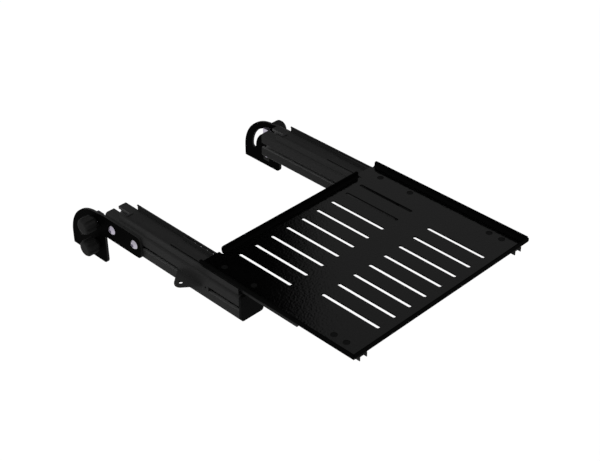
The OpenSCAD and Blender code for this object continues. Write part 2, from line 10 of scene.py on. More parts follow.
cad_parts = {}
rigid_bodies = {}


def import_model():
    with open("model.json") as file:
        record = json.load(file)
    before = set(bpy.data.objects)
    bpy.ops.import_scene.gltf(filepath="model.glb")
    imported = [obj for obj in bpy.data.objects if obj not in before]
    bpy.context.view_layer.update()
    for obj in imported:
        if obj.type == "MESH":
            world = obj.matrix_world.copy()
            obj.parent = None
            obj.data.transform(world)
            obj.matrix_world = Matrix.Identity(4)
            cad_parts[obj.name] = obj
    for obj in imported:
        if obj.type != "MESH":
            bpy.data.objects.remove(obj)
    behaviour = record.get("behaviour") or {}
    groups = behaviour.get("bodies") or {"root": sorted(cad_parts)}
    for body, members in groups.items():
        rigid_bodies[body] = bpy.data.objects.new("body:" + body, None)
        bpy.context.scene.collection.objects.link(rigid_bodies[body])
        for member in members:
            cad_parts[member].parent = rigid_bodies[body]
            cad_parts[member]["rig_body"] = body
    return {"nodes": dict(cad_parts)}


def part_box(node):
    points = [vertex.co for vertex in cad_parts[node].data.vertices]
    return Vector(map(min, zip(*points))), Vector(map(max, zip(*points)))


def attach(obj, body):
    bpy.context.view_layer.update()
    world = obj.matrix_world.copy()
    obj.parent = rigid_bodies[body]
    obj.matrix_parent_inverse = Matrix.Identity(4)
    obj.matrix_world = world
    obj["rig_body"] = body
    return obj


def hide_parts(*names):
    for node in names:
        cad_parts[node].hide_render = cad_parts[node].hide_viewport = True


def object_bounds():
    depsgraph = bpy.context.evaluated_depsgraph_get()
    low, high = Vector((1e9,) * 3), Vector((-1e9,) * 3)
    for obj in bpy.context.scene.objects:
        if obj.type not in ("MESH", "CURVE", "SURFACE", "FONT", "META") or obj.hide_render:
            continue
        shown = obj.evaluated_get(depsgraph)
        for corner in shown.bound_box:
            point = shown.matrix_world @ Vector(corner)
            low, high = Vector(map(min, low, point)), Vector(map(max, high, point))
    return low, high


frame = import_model()
CAD_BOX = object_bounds()

bl_info = {
    "name": "Sliding keyboard shelf",
    "version": (1, 0, 0),
    "blender": (4, 5, 0),
    "location": "View3D > Sidebar > Shelf",
    "description": "Dresses the sliding keyboard shelf and builds its studio",
    "category": "Object",
}

MM = 0.001
IMAGE_WIDTH = 600
SENSOR_WIDTH = 36.0

# Joining of loose triangles, and the angles between faces that count as flat, as an outer edge or as a crease
MERGE = 1e-6
FLAT_ANGLE = math.radians(0.5)
OUTER_ANGLE = math.radians(35)
CREASE_ANGLE = math.radians(50)
BALL_CREASE = math.radians(40)
GRIP_CREASE = math.radians(55)

# A face points up, sideways or endways when its normal goes past these
LEVEL = 0.98
SIDEWAYS = 0.7
ENDWAYS = 0.5

# The arms' outer skin, the depth of the screws' heads under the tray's floor, and slack for the floor's faces
# Faces deeper than SLOT_SKIN inside an arm get the slots' painted light
SLOT_SKIN = 1.4 * MM
SCREW_SINK = 0.3 * MM
FLOOR_SLACK = 0.5 * MM

# Drawing lines are drawn this much shorter along Y in noise, so that they run long on the metal
LINE_SHRINK = 0.012

# A wave texture has 20 / tau ridges in one unit at scale 1
THREAD_PITCH = 1.25 * MM
WAVE_RIDGES = 20 / math.tau

# Balls and grips. A profile's radius below ON_AXIS is a point on the axis.
ON_AXIS = 1e-9
BALL_RINGS = 14
BALL_STEPS = 28
FLUTE_WIDTH = 1.7
FOOT_ROUND = 0.5 * MM
RIM_ROUND = 1.0 * MM
FOOT_STEPS, RIM_STEPS, WALL_STEPS, END_STEPS, CROWN_STEPS = 3, 4, 8, 10, 4

# A lamp's name, its place, the property that holds its power, and its size
LAMPS = (
    ("overhead", (-0.1, 0.05, 1.5), "key", 1.3),
    ("left_side", (-1.7, 0.2, 0.8), "side", 1.0),
    ("front_side", (0.3, -2.0, 0.7), "front", 1.0),
)

# Where it is seen, the floor glows for this share of its brightness, and is matt with a shadow for the rest
FLOOR_HALF = 40.0
FLOOR_GLOW = 1.07
FLOOR_SHARE = 0.89

# What lifts the sky to white where the camera sees it
SKY_LIFT = 0.3

# The card's size and place, and how far along it goes from black to lit
CARD_HALF = 1.6
CARD_LOW, CARD_HIGH = -0.2, 2.2
CARD_PLACE = (0.9, 0.65, 0.25)
CARD_TURN = math.radians(-44.7)
CARD_ALONG = (0.7108, -0.7034, 0)
CARD_DARK, CARD_LIT = 0.12, 0.24

# How far the camera sees
CLIP_END = 100


def linear(colour):
    """An sRGB hex colour as linear red, green and blue."""
    parts = [int(colour[i : i + 2], 16) / 255 for i in (1, 3, 5)]
    return [c / 12.92 if c <= 0.04045 else ((c + 0.055) / 1.055) ** 2.4 for c in parts]


def add(tree, kind, inputs=None, **settings):
    """Adds a node. A socket among the inputs is linked, and any other value is set."""
    made = tree.nodes.new(kind)
    for name, value in settings.items():
        setattr(made, name, value)
    for key, value in (inputs or {}).items():
        if isinstance(value, bpy.types.NodeSocket):
            tree.links.new(value, made.inputs[key])
        else:
            made.inputs[key].default_value = value
    return made


def colour_property(name, colour, description):
    """A colour that the user can change, with its default from a hex value."""
    return bpy.props.FloatVectorProperty(
        name=name, description=description, subtype="COLOR", size=3, min=0, max=1, default=linear(colour)
    )


def length_property(name, millimetres, description):
    """A length that the user can change, with its default in millimetres."""
    return bpy.props.FloatProperty(
        name=name, description=description, subtype="DISTANCE", unit="LENGTH", min=0, default=millimetres * MM
    )


class ShelfFinish(bpy.types.PropertyGroup):
    """Colours of the finishes, with the cut edges and the slots painted lighter as painted light, and sizes
    of their texture.
    """

    powder: colour_property("Powder coat", "#030303", "Gloss black coat on the tray's floor")
    lip: colour_property("Lip coat", "#060606", "The same coat on the tray's bent lips")
    plate: colour_property("Plate coat", "#050505", "Black coat on the bracket plates' flat faces")
    # The cut edges' colour is a painted highlight: the same coat, painted lighter than on the plates' faces
    edge: colour_property("Cut edge", "#262626", "Thin coat on the bracket plates' cut edges")
    anodised: colour_property("Anodised black", "#262626", "Arms and cable tab")
    # The slots' colour is painted light: lighter than the arms, to lift the shade inside the slots
    slot: colour_property("Anodised slot", "#525252", "Insides of the arms' slots")
    rail: colour_property("Rail black", "#262626", "Slide members, cages and rail screws")
    screw: colour_property("Screw black", "#0E0E0E", "Tray screws, tab screw, washers and lower rig nuts")
    plastic: colour_property("Moulded black", "#1B1B1B", "Grips")
    cap: colour_property("Cap black", "#0D0D0D", "End caps")
    zinc: colour_property("Zinc", "#B7B2BF", "Bolts, nuts and studs")
    steel: colour_property("Ball steel", "#3E3F42", "Balls")
    rubber: colour_property("Rubber", "#101011", "Bumpers")
    peel: length_property("Orange peel", 3.2, "Width of one dimple in the gloss coat")
    grain: length_property("Coat grain", 0.9, "Width of one grain in the plates' coat")
    drawn: length_property("Drawing lines", 0.7, "Width of one extrusion line on the arms")


class ShelfEdges(bpy.types.PropertyGroup):
    """Radii of the edges that the photograph shows softened."""

    sheet: length_property("Sheet edge", 0.35, "Edges of the coated tray and of the bumpers")
    plate: length_property("Plate edge", 0.45, "Edges of the cut plates")
    profile: length_property("Profile edge", 0.3, "Edges of the arms and the cable tab")
    pressed: length_property("Pressed edge", 0.12, "Edges of the slides' fixed members")
    moulded: length_property("Moulded edge", 0.6, "Edges of the end caps")
    turned: length_property("Turned edge", 0.15, "Edges of bolts, screws, nuts and washers")


class ShelfGrip(bpy.types.PropertyGroup):
    """Form of the fluted grips."""

    flutes: bpy.props.IntProperty(name="Flutes", description="Flutes round a grip", min=3, max=16, default=8)
    depth: length_property("Flute depth", 1.8, "How deep a flute is cut")
    hub: length_property("Hub radius", 8.2, "Radius of the foot under the grip")
    hub_height: length_property("Hub height", 4.0, "Height of the foot under the grip")
    round: length_property("End round", 5.0, "Rounding of the grip's outer end")
    rings: bpy.props.IntProperty(name="Rings", description="Faces round a grip", min=48, max=256, default=160)


class ShelfStudio(bpy.types.PropertyGroup):
    """Camera, lamps and floor."""

    place: bpy.props.FloatVectorProperty(
        name="Camera", description="Where the camera stands", subtype="XYZ", unit="LENGTH", size=3,
        default=(-1.0687, -1.3260, 1.1105),
    )
    turn: bpy.props.FloatVectorProperty(
        name="Camera turn", description="How the camera is turned", subtype="EULER", unit="ROTATION", size=3,
        default=(math.radians(55.138), math.radians(0.393), math.radians(-44.955)),
    )
    lens: bpy.props.FloatProperty(
        name="Lens", description="Focal length in millimetres", min=10, default=78.18
    )
    floor: colour_property("Floor", "#F2F2F2", "Floor of the studio")
    level: bpy.props.FloatProperty(
        name="Floor level", description="Height of the floor, clear of the shelf when it hangs straight down",
        unit="LENGTH", default=-0.6,
    )
    key: bpy.props.FloatProperty(name="Key", description="Power of the overhead lamp", min=0, default=7.0)
    side: bpy.props.FloatProperty(name="Side", description="Power of the left lamp", min=0, default=8.0)
    front: bpy.props.FloatProperty(name="Front", description="Power of the front lamp", min=0, default=1.0)
    fill: bpy.props.FloatProperty(
        name="Fill", description="Light from all round", min=0, max=1, default=0.68
    )
    card: bpy.props.FloatProperty(
        name="Card", description="Brightness of the card that the gloss mirrors", min=0, max=1, default=0.2
    )


# Materials


def bare_material(name):
    """A material with an empty tree, and the tree."""
    material = bpy.data.materials.new(name)
    material.use_nodes = True
    material.node_tree.nodes.clear()
    return material, material.node_tree


def new_material(name):
    """A material with a Principled shader, and its tree, shader and Object coordinates."""
    material, tree = bare_material(name)
    shader = add(tree, "ShaderNodeBsdfPrincipled")
    add(tree, "ShaderNodeOutputMaterial", {"Surface": shader.outputs["BSDF"]})
    place = add(tree, "ShaderNodeTexCoord").outputs["Object"]
    return material, tree, shader, place


def vary(tree, shader, colour, fac, low, high):
    """Colour that goes a little darker and lighter with fac."""
    dark = [c * low for c in colour] + [1]
    light = [min(1, c * high) for c in colour] + [1]
    # A Mix node has its two colours in sockets 6 and 7, and the mixed colour in output 2
    mix = add(tree, "ShaderNodeMix", {0: fac, 6: dark, 7: light}, data_type="RGBA")
    tree.links.new(mix.outputs[2], shader.inputs["Base Color"])


def scale_roughness(tree, shader, fac, low, high):
    """Roughness from low to high with fac."""
    spread = add(tree, "ShaderNodeMapRange", {"Value": fac, "To Min": low, "To Max": high})
    tree.links.new(spread.outputs["Result"], shader.inputs["Roughness"])


def gloss_powder_coat(finish):
    """Polyester powder baked to a gloss: flows into wide, shallow dimples that break up a reflection."""
    material, tree, shader, place = new_material("gloss_powder_coat")
    shader.inputs["IOR"].default_value = 1.5
    peel = add(tree, "ShaderNodeTexNoise",
               {"Vector": place, "Scale": 1 / finish.peel, "Detail": 1.5, "Roughness": 0.45})
    cloud = add(tree, "ShaderNodeTexNoise", {"Vector": place, "Scale": 1 / (83.333 * MM), "Detail": 3.0})
    bump = add(tree, "ShaderNodeBump",
               {"Height": peel.outputs["Fac"], "Strength": 0.9, "Distance": 0.15 * MM})
    tree.links.new(bump.outputs["Normal"], shader.inputs["Normal"])
    vary(tree, shader, finish.powder, cloud.outputs["Fac"], 0.8, 1.25)
    scale_roughness(tree, shader, cloud.outputs["Fac"], 0.08, 0.13)
    return material


def grained_coat(name, finish, colour, specular):
    """Powder that lies thinner than on the tray's floor: fine grain and little sheen."""
    material, tree, shader, place = new_material(name)
    shader.inputs["Specular IOR Level"].default_value = specular
    grain = add(tree, "ShaderNodeTexNoise",
                {"Vector": place, "Scale": 1 / finish.grain, "Detail": 4.0, "Roughness": 0.6})
    cloud = add(tree, "ShaderNodeTexNoise", {"Vector": place, "Scale": 1 / (50 * MM), "Detail": 3.0})
    bump = add(tree, "ShaderNodeBump",
               {"Height": grain.outputs["Fac"], "Strength": 0.3, "Distance": 0.08 * MM})
    tree.links.new(bump.outputs["Normal"], shader.inputs["Normal"])
    vary(tree, shader, colour, cloud.outputs["Fac"], 0.8, 1.25)
    scale_roughness(tree, shader, grain.outputs["Fac"], 0.35, 0.5)
    return material


def lip_powder_coat(finish):
    """The tray's coat on its bent lips, stretched thin over the bends: dark, with a short sheen."""
    return grained_coat("lip_powder_coat", finish, finish.lip, specular=0.002)


def plate_powder_coat(finish):
    """Fine-texture powder on laser-cut steel: nearly black on the flat faces."""
    return grained_coat("plate_powder_coat", finish, finish.plate, specular=0.002)


def cut_edge_coat(finish):
    """The same powder on the laser's cut edges, painted much lighter than the plates' faces: a painted
    highlight for the light that the edges catch.
    """
    return grained_coat("cut_edge_coat", finish, finish.edge, specular=0.02)


def drawn_black(name, finish, colour, specular, low, high):
    """Metal drawn or rolled along Y and then blackened: fine lines run the length of the piece.

    Its roughness goes from low to high.
    """
    material, tree, shader, place = new_material(name)
    shader.inputs["Specular IOR Level"].default_value = specular
    along = add(tree, "ShaderNodeMapping", {"Vector": place, "Scale": (1, LINE_SHRINK, 1)})
    lines = add(tree, "ShaderNodeTexNoise",
                {"Vector": along.outputs["Vector"], "Scale": 1 / finish.drawn, "Detail": 3.0})
    cloud = add(tree, "ShaderNodeTexNoise", {"Vector": place, "Scale": 1 / (62.5 * MM), "Detail": 4.0})
    bump = add(tree, "ShaderNodeBump",
               {"Height": lines.outputs["Fac"], "Strength": 0.25, "Distance": 0.05 * MM})
    tree.links.new(bump.outputs["Normal"], shader.inputs["Normal"])
    vary(tree, shader, colour, lines.outputs["Fac"], 0.72, 1.28)
    scale_roughness(tree, shader, cloud.outputs["Fac"], low, high)
    return material


def anodised_aluminium(finish):
    """Extruded aluminium, anodised black: a dry, even film that keeps the die's lines."""
    return drawn_black("anodised_aluminium", finish, finish.anodised, specular=0.02, low=0.38, high=0.5)


def slot_aluminium(finish):
    """The same extrusion inside its slots, painted lighter than outside: painted light that lifts the shade
    in the slots.
    """
    return drawn_black("slot_aluminium", finish, finish.slot, specular=0.02, low=0.38, high=0.5)


def blackened_steel(finish):
    """Cold-rolled strip with a black dip coat and a trace of oil, so a little smoother than the arms."""
    return drawn_black("blackened_steel", finish, finish.rail, specular=0.02, low=0.28, high=0.4)


def screw_black_oxide(finish):
    """Black oxide on screws, washers and nuts: darker than the rails, with an oily glint on a rim."""
    return drawn_black("screw_black_oxide", finish, finish.screw, specular=0.05, low=0.25, high=0.35)


def gritty_plastic(name, colour, specular):
    """Moulded plastic with the mould's fine grit."""
    material, tree, shader, place = new_material(name)
    shader.inputs["Specular IOR Level"].default_value = specular
    grit = add(tree, "ShaderNodeTexNoise", {"Vector": place, "Scale": 1 / (0.6 * MM), "Detail": 3.0})
    bump = add(tree, "ShaderNodeBump",
               {"Height": grit.outputs["Fac"], "Strength": 0.35, "Distance": 0.06 * MM})
    tree.links.new(bump.outputs["Normal"], shader.inputs["Normal"])
    vary(tree, shader, colour, grit.outputs["Fac"], 0.8, 1.25)
    scale_roughness(tree, shader, grit.outputs["Fac"], 0.5, 0.62)
    return material


def moulded_nylon(finish):
    """Glass-filled nylon from a spark-eroded mould: matt, with a fine even grit."""
    return gritty_plastic("moulded_nylon", finish.plastic, specular=0.03)


def cap_polyethylene(finish):
    """Soft polyethylene of the pressed-in end caps: darker and duller than the grips."""
    return gritty_plastic("cap_polyethylene", finish.cap, specular=0.01)


def zinc_plate(finish):
    """Bright zinc with a clear passivate: a soft metal sheen with a cool, faintly violet cast."""
    material, tree, shader, place = new_material("zinc_plate")
    shader.inputs["Metallic"].default_value = 1.0
    blotch = add(tree, "ShaderNodeTexNoise", {"Vector": place, "Scale": 1 / (6.25 * MM), "Detail": 4.0})
    fine = add(tree, "ShaderNodeTexNoise", {"Vector": place, "Scale": 1 / (0.5 * MM), "Detail": 2.0})
    bump = add(tree, "ShaderNodeBump",
               {"Height": fine.outputs["Fac"], "Strength": 0.15, "Distance": 0.03 * MM})
    tree.links.new(bump.outputs["Normal"], shader.inputs["Normal"])
    vary(tree, shader, finish.zinc, blotch.outputs["Fac"], 0.82, 1.1)
    scale_roughness(tree, shader, blotch.outputs["Fac"], 0.26, 0.4)
    return material


def threaded_zinc(finish):
    """The same zinc on a rolled thread: sharp ridges round the stud, at the thread's own pitch."""
    material, tree, shader, place = new_material("threaded_zinc")
    shader.inputs["Metallic"].default_value = 1.0
    ridges = add(tree, "ShaderNodeTexWave", {"Vector": place, "Scale": 1 / (THREAD_PITCH * WAVE_RIDGES)},
                 bands_direction="X", wave_profile="TRI")
    bump = add(tree, "ShaderNodeBump",
               {"Height": ridges.outputs["Fac"], "Strength": 0.9, "Distance": 0.6 * MM})
    tree.links.new(bump.outputs["Normal"], shader.inputs["Normal"])
    # The colour is painted darker in the thread's valleys and lighter on its crests: painted shade in the
    # grooves
    vary(tree, shader, finish.zinc, ridges.outputs["Fac"], 0.45, 1.0)
    scale_roughness(tree, shader, ridges.outputs["Fac"], 0.42, 0.28)
    return material


def ball_steel(finish):
    """Hardened chrome steel, lapped to a mirror, with a film of grease that dulls it here and there."""
    material, tree, shader, place = new_material("ball_steel")
    shader.inputs["Metallic"].default_value = 1.0
    film = add(tree, "ShaderNodeTexNoise", {"Vector": place, "Scale": 1 / (2.5 * MM), "Detail": 2.0})
    vary(tree, shader, finish.steel, film.outputs["Fac"], 0.85, 1.0)
    scale_roughness(tree, shader, film.outputs["Fac"], 0.06, 0.22)
    return material


def soft_rubber(finish):
    """Moulded nitrile rubber: dull, with a slight bloom."""
    material, tree, shader, place = new_material("soft_rubber")
    bloom = add(tree, "ShaderNodeTexNoise", {"Vector": place, "Scale": 1 / (3.3333 * MM), "Detail": 4.0})
    bump = add(tree, "ShaderNodeBump",
               {"Height": bloom.outputs["Fac"], "Strength": 0.3, "Distance": 0.05 * MM})
    tree.links.new(bump.outputs["Normal"], shader.inputs["Normal"])
    vary(tree, shader, finish.rubber, bloom.outputs["Fac"], 0.8, 1.5)
    scale_roughness(tree, shader, bloom.outputs["Fac"], 0.6, 0.8)
    return material


def finish_of(context, make):
    """The material that make builds, made once."""
    found = bpy.data.materials.get(make.__name__)
    return found or make(context.scene.shelf_finish)


# Meshes


def merged_copy(node):
    """A CAD node's mesh as a bmesh, its loose triangles joined and its flat faces whole."""
    work = bmesh.new()
    work.from_mesh(frame["nodes"][node].data)
    bmesh.ops.remove_doubles(work, verts=work.verts, dist=MERGE)
    bmesh.ops.dissolve_limit(
        work, angle_limit=FLAT_ANGLE, verts=work.verts, edges=work.edges, delimit={"NORMAL"}
    )
    return work


def new_piece(name, mesh, materials):
    """Links an object for the mesh, at the origin, with these materials."""
    piece = bpy.data.objects.new(name, mesh)
    bpy.context.scene.collection.objects.link(piece)
    mesh.materials.clear()
    for material in materials:
        mesh.materials.append(material)
    return piece


def baked(piece):
    """Turns the piece's modifiers into its mesh."""
    graph = bpy.context.evaluated_depsgraph_get()
    materials = list(piece.data.materials)
    mesh = bpy.data.meshes.new_from_object(piece.evaluated_get(graph), depsgraph=graph)
    piece.modifiers.clear()
    piece.data = mesh
    for i, material in enumerate(materials):
        if i < len(mesh.materials):
            mesh.materials[i] = material
        else:
            mesh.materials.append(material)
    return piece


def smooth(piece, crease):
    """Smooth shading, apart from edges that turn by more than crease."""
    piece.data.shade_smooth()
    piece.data.set_sharp_from_angle(angle=crease)


def stand_in(piece, node):
    """The piece rides on the node's body and is shown in the node's place."""
    body = frame["nodes"][node]["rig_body"]
    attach(piece, body)
    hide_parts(node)
    return piece


def soften(node, name, radius, materials, pick=None):
    """A copy of a CAD node with its sharp outer edges rounded, in the node's place."""
    work = merged_copy(node)
    weight = work.edges.layers.float.new("bevel_weight_edge")
    for edge in work.edges:
        if edge.is_convex and edge.calc_face_angle(0) > OUTER_ANGLE:
            edge[weight] = 1.0
    mesh = bpy.data.meshes.new(name)
    work.to_mesh(mesh)
    work.free()
    piece = new_piece(name, mesh, materials)
    bevel = piece.modifiers.new("edges", "BEVEL")
    bevel.width = radius
    bevel.segments = 2
    bevel.limit_method = "WEIGHT"
    bevel.use_clamp_overlap = True
    baked(piece)
    smooth(piece, CREASE_ANGLE)
    shading = piece.modifiers.new("flat_faces", "WEIGHTED_NORMAL")
    shading.keep_sharp = True
    baked(piece)
    if pick:
        for face in piece.data.polygons:
            face.material_index = pick(face)
    return stand_in(piece, node)


def dress(node, *materials):
    """Gives a CAD node these materials."""
    data = frame["nodes"][node].data
    data.materials.clear()
    for material in materials:
        data.materials.append(material)


def solids_of(node):
    """Middles of the boxes of the separate solids in a CAD node, and the size of one of them."""
    work = bmesh.new()
    work.from_mesh(frame["nodes"][node].data)
    bmesh.ops.remove_doubles(work, verts=work.verts, dist=MERGE)
    left = set(work.verts)
    found = []
    while left:
        group, reach = set(), [left.pop()]
        while reach:
            vertex = reach.pop()
            group.add(vertex)
            for edge in vertex.link_edges:
                other = edge.other_vert(vertex)
                if other in left:
                    left.discard(other)
                    reach.append(other)
        low = Vector(min(v.co[i] for v in group) for i in range(3))
        high = Vector(max(v.co[i] for v in group) for i in range(3))
        found.append((low, high))
    work.free()
    low, high = found[0]
    return sorted(((low + high) / 2 for low, high in found), key=tuple), high - low


def lathe(profile, steps):
    """A closed mesh turned round Z from a profile of radius and height, its ends on the axis."""
    work = bmesh.new()
    rings = []
    for radius, height in profile:
        if radius < ON_AXIS:
            rings.append([work.verts.new((0, 0, height))])
        else:
            turn = [math.tau * i / steps for i in range(steps)]
            rings.append([work.verts.new((radius * math.cos(a), radius * math.sin(a), height)) for a in turn])
    for lower, upper in zip(rings, rings[1:]):
        for i in range(steps):
            j = (i + 1) % steps
            corners = [lower[i % len(lower)], lower[j % len(lower)]]
            corners += [upper[j % len(upper)], upper[i % len(upper)]]
            unique = [v for k, v in enumerate(corners) if v not in corners[:k]]
            if len(unique) > 2:
                work.faces.new(unique)
    bmesh.ops.recalc_face_normals(work, faces=work.faces)
    mesh = bpy.data.meshes.new("turned")
    work.to_mesh(mesh)
    work.free()
    return mesh


def arc(middle, radius, start, end, steps):
    """Points of an arc in the profile's plane, from start to end in degrees."""
    turn = [math.radians(start + (end - start) * i / steps) for i in range(steps + 1)]
    return [(middle[0] + radius * math.cos(a), middle[1] + radius * math.sin(a)) for a in turn]


# Geometry node trees


def new_tree(name, sockets):
    """A geometry tree with a geometry input and output and these named inputs."""
    tree = bpy.data.node_groups.new(name, "GeometryNodeTree")
    tree.interface.new_socket("Geometry", in_out="INPUT", socket_type="NodeSocketGeometry")
    for label, kind in sockets:
        tree.interface.new_socket(label, in_out="INPUT", socket_type=kind)
    tree.interface.new_socket("Geometry", in_out="OUTPUT", socket_type="NodeSocketGeometry")
    return tree, add(tree, "NodeGroupInput").outputs


def close_tree(tree, geometry, material):
    """Realizes the instances, gives them the material and ends the tree."""
    real = add(tree, "GeometryNodeRealizeInstances", {"Geometry": geometry})
    painted = add(tree, "GeometryNodeSetMaterial", {"Geometry": real.outputs[0], "Material": material})
    add(tree, "NodeGroupOutput", {0: painted.outputs[0]})
    return tree


def place_on_points():
    """A tree that sets a copy of a pattern on each point of the mesh."""
    sockets = [("Pattern", "NodeSocketObject"), ("Material", "NodeSocketMaterial")]
    tree, given = new_tree("place_on_points", sockets)
    pattern = add(tree, "GeometryNodeObjectInfo", {"Object": given["Pattern"]}, transform_space="ORIGINAL")
    placed = add(tree, "GeometryNodeInstanceOnPoints",
                 {"Points": given["Geometry"], "Instance": pattern.outputs["Geometry"]})
    return close_tree(tree, placed.outputs["Instances"], given["Material"])


def flutes():
    """A tree that cuts round valleys along Z into a turned body, in what lies within Depth of its rim."""
    tree, given = new_tree("flutes", [
        ("Count", "NodeSocketInt"), ("Depth", "NodeSocketFloat"), ("Radius", "NodeSocketFloat"),
        ("Width", "NodeSocketFloat"), ("Material", "NodeSocketMaterial"),
    ])
    place = add(tree, "GeometryNodeInputPosition").outputs[0]
    axes = add(tree, "ShaderNodeSeparateXYZ", {0: place}).outputs
    angle = add(tree, "ShaderNodeMath", {0: axes["Y"], 1: axes["X"]}, operation="ARCTAN2").outputs[0]
    flat = add(tree, "ShaderNodeVectorMath", {0: place, 1: (1, 1, 0)}, operation="MULTIPLY").outputs[0]
    reach = add(tree, "ShaderNodeVectorMath", {0: flat}, operation="LENGTH").outputs["Value"]
    pitch = add(tree, "ShaderNodeMath", {0: math.tau, 1: given["Count"]}, operation="DIVIDE").outputs[0]
    turned = add(tree, "ShaderNodeMath", {0: angle, 1: pitch}, operation="DIVIDE").outputs[0]
    nearest = add(tree, "ShaderNodeMath", {0: turned}, operation="ROUND").outputs[0]
    off = add(tree, "ShaderNodeMath", {0: turned, 1: nearest}, operation="SUBTRACT").outputs[0]
    angle_off = add(tree, "ShaderNodeMath", {0: off, 1: pitch}, operation="MULTIPLY").outputs[0]
    arc_off = add(tree, "ShaderNodeMath", {0: angle_off, 1: given["Radius"]}, operation="MULTIPLY").outputs[0]
    share = add(tree, "ShaderNodeMath", {0: arc_off, 1: given["Width"]}, operation="DIVIDE").outputs[0]
    square = add(tree, "ShaderNodeMath", {0: share, 1: share}, operation="MULTIPLY").outputs[0]
    bowl = add(tree, "ShaderNodeMath", {0: 1.0, 1: square}, operation="SUBTRACT", use_clamp=True).outputs[0]
    eased = add(tree, "ShaderNodeMapRange", {"Value": bowl}, interpolation_type="SMOOTHSTEP")
    shape = eased.outputs["Result"]
    root = {0: given["Radius"], 1: given["Depth"]}
    edge = add(tree, "ShaderNodeMath", root, operation="SUBTRACT").outputs[0]
    over = add(tree, "ShaderNodeMath", {0: reach, 1: edge}, operation="SUBTRACT").outputs[0]
    held = add(tree, "ShaderNodeMath", {0: over, 1: 0.0}, operation="MAXIMUM").outputs[0]
    cut = add(tree, "ShaderNodeMath", {0: held, 1: shape}, operation="MULTIPLY").outputs[0]
    outward = add(tree, "ShaderNodeVectorMath", {0: flat}, operation="NORMALIZE").outputs[0]
    back = add(tree, "ShaderNodeMath", {0: cut, 1: -1.0}, operation="MULTIPLY").outputs[0]
    move = add(tree, "ShaderNodeVectorMath", {0: outward, "Scale": back}, operation="SCALE").outputs[0]
    moved = add(tree, "GeometryNodeSetPosition", {"Geometry": given["Geometry"], "Offset": move})
    return close_tree(tree, moved.outputs[0], given["Material"])


def run_tree(piece, tree, values):
    """Runs the tree on the piece with these inputs, and keeps the result as its mesh."""
    modifier = piece.modifiers.new(tree.name, "NODES")
    modifier.node_group = tree
    sockets = {s.name: s.identifier for s in tree.interface.items_tree if s.in_out == "INPUT"}
    for name, value in values.items():
        modifier[sockets[name]] = value
    return baked(piece)


def tree_of(make):
    """The tree that make builds, made once."""
    return bpy.data.node_groups.get(make.__name__) or make()


def repeat(node, name, pattern_mesh, material):
    """Sets the pattern on the middle of each solid of a CAD node, in the node's place."""
    points, _ = solids_of(node)
    cloud = bpy.data.meshes.new(name)
    cloud.from_pydata([tuple(p) for p in points], [], [])
    piece = new_piece(name, cloud, [material])
    pattern = bpy.data.objects.new("pattern", pattern_mesh)
    bpy.context.scene.collection.objects.link(pattern)
    run_tree(piece, tree_of(place_on_points), {"Pattern": pattern, "Material": material})
    bpy.data.objects.remove(pattern)
    smooth(piece, BALL_CREASE)
    return stand_in(piece, node)


# Pieces


class SHELF_OT_tray(bpy.types.Operator):
    """Gives the tray its coat and soft edges"""

    bl_idname = "shelf.tray"
    bl_label = "Tray"

    def execute(self, context):
        edges = context.scene.shelf_edges
        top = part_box("tray_screws")[1].z + SCREW_SINK
        coats = [finish_of(context, gloss_powder_coat), finish_of(context, lip_powder_coat)]

        def pick(face):
            return 0 if face.normal.z > LEVEL and face.center.z < top + FLOOR_SLACK else 1

        soften("tray", "tray_sheet", edges.sheet, coats, pick)
        return {"FINISHED"}


class SHELF_OT_arms(bpy.types.Operator):
    """Gives the arms, their caps and the cable tab their finish and soft edges"""

    bl_idname = "shelf.arms"
    bl_label = "Arms"

    def execute(self, context):
        edges = context.scene.shelf_edges
        # The second finish is painted light, lighter inside the slots against their shade
        film = [finish_of(context, anodised_aluminium), finish_of(context, slot_aluminium)]
        plastic = [finish_of(context, cap_polyethylene)]
        for side in ("left", "right"):
            node = "arm_" + side
            soften(node, "arm_profile_" + side, edges.profile, film, self.painted_light_slot_picker(node))
            soften("arm_cap_" + side, "end_cap_" + side, edges.moulded, plastic)
        soften("cable_tab", "cable_tab_plate", edges.profile, film[:1])
        screw = [finish_of(context, screw_black_oxide)]
        soften("tab_screw", "tab_clamping_screw", edges.turned, screw)
        return {"FINISHED"}

    @staticmethod
    def painted_light_slot_picker(node):
        """Picks the second material, painted lighter as painted light against the slots' shade, for the faces
        that lie inside the profile's slots.
        """
        low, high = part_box(node)

        def pick(face):
            middle = face.center
            depth = min(middle.x - low.x, high.x - middle.x, middle.z - low.z, high.z - middle.z)
            return 1 if depth > SLOT_SKIN and abs(face.normal.y) < ENDWAYS else 0

        return pick


class SHELF_OT_brackets(bpy.types.Operator):
    """Gives the bracket plates their coat and soft edges"""

    bl_idname = "shelf.brackets"
    bl_label = "Bracket plates"

    def execute(self, context):
        edges = context.scene.shelf_edges
        # The second coat is the cut edges' painted highlight, given to every face that does not face sideways
        coats = [finish_of(context, plate_powder_coat), finish_of(context, cut_edge_coat)]

        def pick(face):
            return 0 if abs(face.normal.x) > SIDEWAYS else 1

        for side in ("left", "right"):
            soften("bracket_" + side, "bracket_plate_" + side, edges.plate, coats, pick)
        return {"FINISHED"}


class SHELF_OT_slides(bpy.types.Operator):
    """Gives the slides' members, cages and bumpers their finish"""

    bl_idname = "shelf.slides"
    bl_label = "Slides"

    def execute(self, context):
        edges = context.scene.shelf_edges
        black = [finish_of(context, blackened_steel)]
        for side in ("left", "right"):
            soften("rail_outer_" + side, "fixed_member_" + side, edges.pressed, black)
            for running in ("rail_middle_", "rail_inner_", "outer_cage_", "inner_cage_"):
                dress(running + side, *black)
        soften("rail_bumpers", "bumpers", edges.sheet, [finish_of(context, soft_rubber)])
        return {"FINISHED"}


